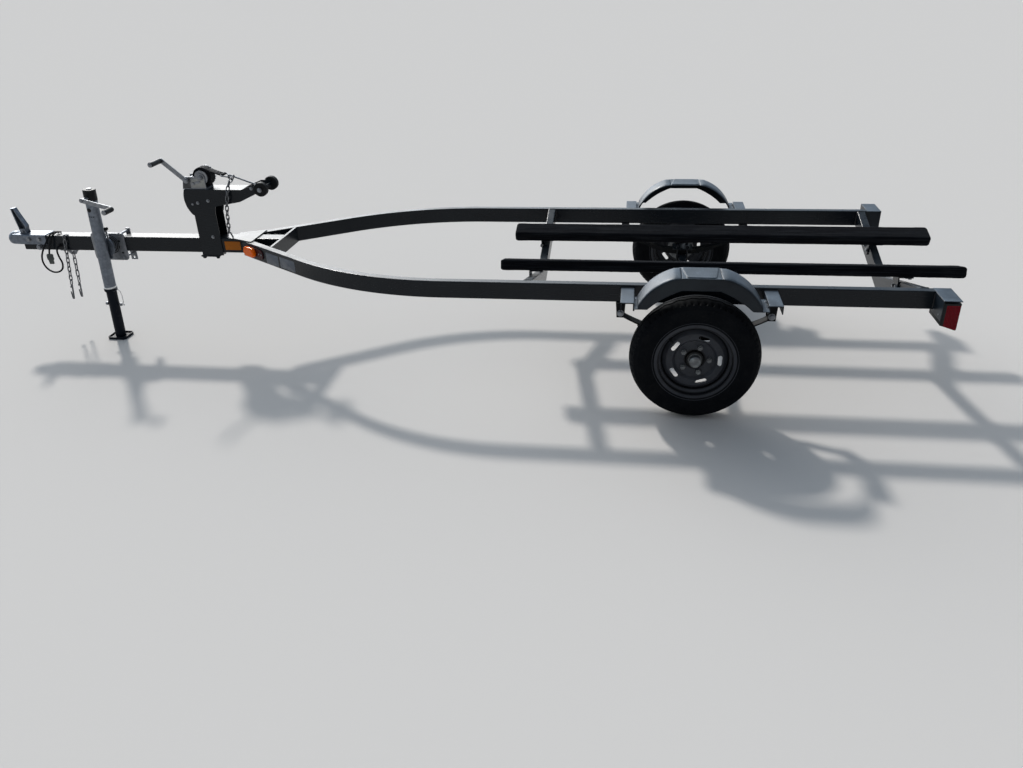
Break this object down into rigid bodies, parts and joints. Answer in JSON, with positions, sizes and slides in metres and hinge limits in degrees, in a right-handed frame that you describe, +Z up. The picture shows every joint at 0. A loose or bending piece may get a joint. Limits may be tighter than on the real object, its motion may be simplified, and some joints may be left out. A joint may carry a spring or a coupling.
{
  "type": "single-axle boat trailer",
  "caption": "Low single-axle trailer for a small boat or personal watercraft, with carpeted bunks, winch stand, tongue jack and a ball coupler.",
  "frame": {"origin": "on the ground, under the middle of the trailer's length and width", "axes": "+X to the rear, +Y to the trailer's right, +Z up; the coupler points along -X"},
  "size_m": [4.675, 1.558, 0.9322],
  "materials": {
    "frame_paint": "gloss black enamel",
    "wheel_paint": "satin grey wheel paint",
    "zinc": "dull bright zinc plate",
    "leg_paint": "black paint",
    "tyre_rubber": "worn black rubber",
    "carpet": "dark grey marine carpet",
    "red_lens": "moulded red lens",
    "amber_lens": "moulded amber lens",
    "black_plastic": "moulded black plastic",
    "black_rubber": "black rubber",
    "webbing": "black woven polyester strap"
  },
  "bodies": {
    "frame": {"axle_beam": "frame_paint", "axle_clamp_left": "frame_paint", "axle_clamp_right": "frame_paint", "bow_arm": "frame_paint", "bow_chain": "zinc", "bow_roller_left": "black_rubber", "bow_roller_right": "black_rubber", "bunk_brackets_front": "frame_paint", "bunk_brackets_rear": "frame_paint", "bunk_left": "carpet", "bunk_right": "carpet", "chain_bracket": "zinc", "coupler_body": "zinc", "coupler_latch": "zinc", "cross_member_front": "frame_paint", "cross_member_rear": "frame_paint", "fender_arms_left": "frame_paint", "fender_arms_right": "frame_paint", "fender_left": "frame_paint", "fender_right": "frame_paint", "front_cross_plate": "frame_paint", "front_reflector_left": "amber_lens", "front_reflector_right": "amber_lens", "gusset_plate": "frame_paint", "harness_cable": "black_rubber", "harness_plug": "black_plastic", "jack_bracket": "zinc", "leaf_spring_left": "frame_paint", "leaf_spring_right": "frame_paint", "light_guard_left": "frame_paint", "light_guard_right": "frame_paint", "safety_chains": "zinc", "side_marker_left": "amber_lens", "side_marker_right": "amber_lens", "side_rail_left": "frame_paint", "side_rail_right": "frame_paint", "spring_hangers_left": "frame_paint", "spring_hangers_right": "frame_paint", "strap_hook": "zinc", "tail_light_left": "red_lens", "tail_light_right": "red_lens", "tongue_tube": "frame_paint", "winch_crank": "zinc", "winch_drum": "zinc", "winch_frame": "zinc", "winch_grip": "black_plastic", "winch_post": "frame_paint", "winch_strap": "webbing"},
    "wheel_left": {"tyre_left": "tyre_rubber", "rim_left": "wheel_paint", "hub_left": "zinc"},
    "wheel_right": {"tyre_right": "tyre_rubber", "rim_right": "wheel_paint", "hub_right": "zinc"},
    "jack": {"jack_tube": "zinc", "jack_cap": "black_plastic", "jack_crank": "zinc", "jack_grip": "black_plastic"},
    "jack_leg": {"jack_leg": "leg_paint", "jack_foot": "leg_paint"}
  },
  "joints": [
    {"name": "wheel_left_spin", "type": "hinge", "parent": "frame", "child": "wheel_left", "pos_m": [1.2035, -0.7025, 0.2665], "axis": [0, 1, 0], "continuous": true},
    {"name": "wheel_right_spin", "type": "hinge", "parent": "frame", "child": "wheel_right", "pos_m": [1.2035, 0.7025, 0.2665], "axis": [0, 1, 0], "continuous": true},
    {"name": "jack_swivel", "type": "hinge", "parent": "frame", "child": "jack", "pos_m": [-1.7405, -0.08, 0.489], "axis": [0, -1, 0], "range_deg": [0, 90]},
    {"name": "jack_extend", "type": "slide", "parent": "jack", "child": "jack_leg", "axis": [0.0523, 0, 0.9986], "range_m": [-0.13, 0.065]}
  ]
}
